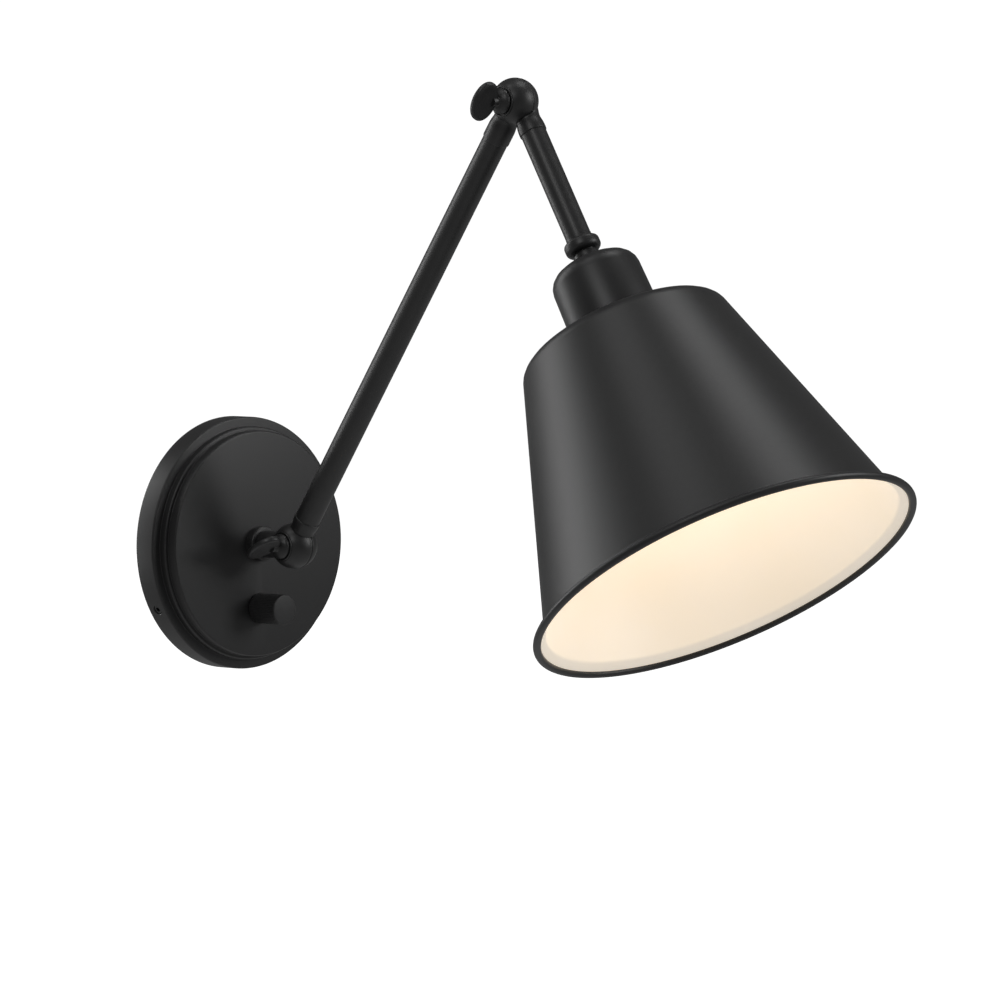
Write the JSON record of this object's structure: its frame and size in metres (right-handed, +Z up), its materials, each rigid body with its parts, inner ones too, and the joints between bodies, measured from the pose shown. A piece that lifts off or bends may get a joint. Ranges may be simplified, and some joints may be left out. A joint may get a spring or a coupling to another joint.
{
  "type": "swing arm wall sconce",
  "caption": "Wall lamp with a round stepped canopy and dimmer knob, jointed tubular arms with thumb-screw knuckles, and a flared metal shade.",
  "frame": {"origin": "centre of the mounting plate's back face, on the wall", "axes": "+Z up, +Y into the wall, the lamp stands out towards -Y, hinge axes along X"},
  "size_m": [0.196, 0.4285, 0.2974],
  "materials": {
    "satin_black": "satin black powder coat",
    "shade_enamel": "satin black powder coat outside, warm white enamel inside",
    "knob_black": "matte black moulded knob",
    "zinc_steel": "bright zinc plate",
    "ground_green": "green dyed screw",
    "brass": "raw machined brass",
    "washer_nylon": "dark nylon",
    "lead_sheath": "black PVC sheath",
    "supply_wire": "coloured wire insulation",
    "connector_plastic": "amber twist connector",
    "dimmer_case": "moulded case",
    "holder_phenolic": "moulded phenolic",
    "bulb_glass": "frosted glass, lit",
    "bulb_cap": "rolled thread"
  },
  "bodies": {
    "wall_base": {"mounting_plate": "zinc_steel", "ground_screw": "ground_green", "canopy": "satin_black", "canopy_set_screws": "satin_black", "supply_leads": "supply_wire", "wire_connectors": "connector_plastic", "stem_collar": "satin_black", "stem_washer": "zinc_steel", "stem_nut": "brass", "stem_lead": "lead_sheath", "base_knuckle_fixed": "satin_black", "base_friction_washer": "washer_nylon", "dimmer_module": "dimmer_case", "dimmer_nut": "zinc_steel"},
    "dimmer": {"dimmer_shaft": "zinc_steel", "dimmer_knob": "knob_black"},
    "lower_arm": {"base_knuckle_moving": "satin_black", "lower_tube": "satin_black", "lower_lead": "lead_sheath", "elbow_knuckle_lower": "satin_black", "elbow_friction_washer": "washer_nylon"},
    "base_thumb": {"base_thumb_wing": "satin_black", "base_clamp_screw": "zinc_steel"},
    "upper_arm": {"elbow_knuckle_upper": "satin_black", "upper_tube": "satin_black", "upper_lead": "lead_sheath", "neck_bead": "satin_black", "nipple": "brass", "nipple_nut": "brass", "socket_cup": "satin_black", "lampholder": "holder_phenolic", "terminal_screws": "brass", "screw_shell": "brass", "centre_contact": "brass", "shade": "shade_enamel", "shade_ring": "zinc_steel", "bulb_cap": "bulb_cap", "bulb_glass": "bulb_glass"},
    "elbow_thumb": {"elbow_thumb_wing": "satin_black", "elbow_clamp_screw": "zinc_steel"}
  },
  "joints": [
    {"name": "base_tilt", "type": "hinge", "parent": "wall_base", "child": "lower_arm", "pos_m": [0, -0.0474, 0], "axis": [1, 0, 0], "range_deg": [-38, 88]},
    {"name": "elbow_tilt", "type": "hinge", "parent": "lower_arm", "child": "upper_arm", "pos_m": [0, -0.20543, 0.22237], "axis": [-1, 0, 0], "range_deg": [-4, 165]},
    {"name": "base_thumb_turn", "type": "hinge", "parent": "lower_arm", "child": "base_thumb", "pos_m": [0, -0.0474, 0], "axis": [-1, 0, 0], "range_deg": [0, 360]},
    {"name": "elbow_thumb_turn", "type": "hinge", "parent": "upper_arm", "child": "elbow_thumb", "pos_m": [0, -0.20543, 0.22237], "axis": [-1, 0, 0], "range_deg": [0, 360]},
    {"name": "dimmer_turn", "type": "hinge", "parent": "wall_base", "child": "dimmer", "pos_m": [0, -0.03, -0.0325], "axis": [0, 1, 0], "range_deg": [0, 290]}
  ]
}
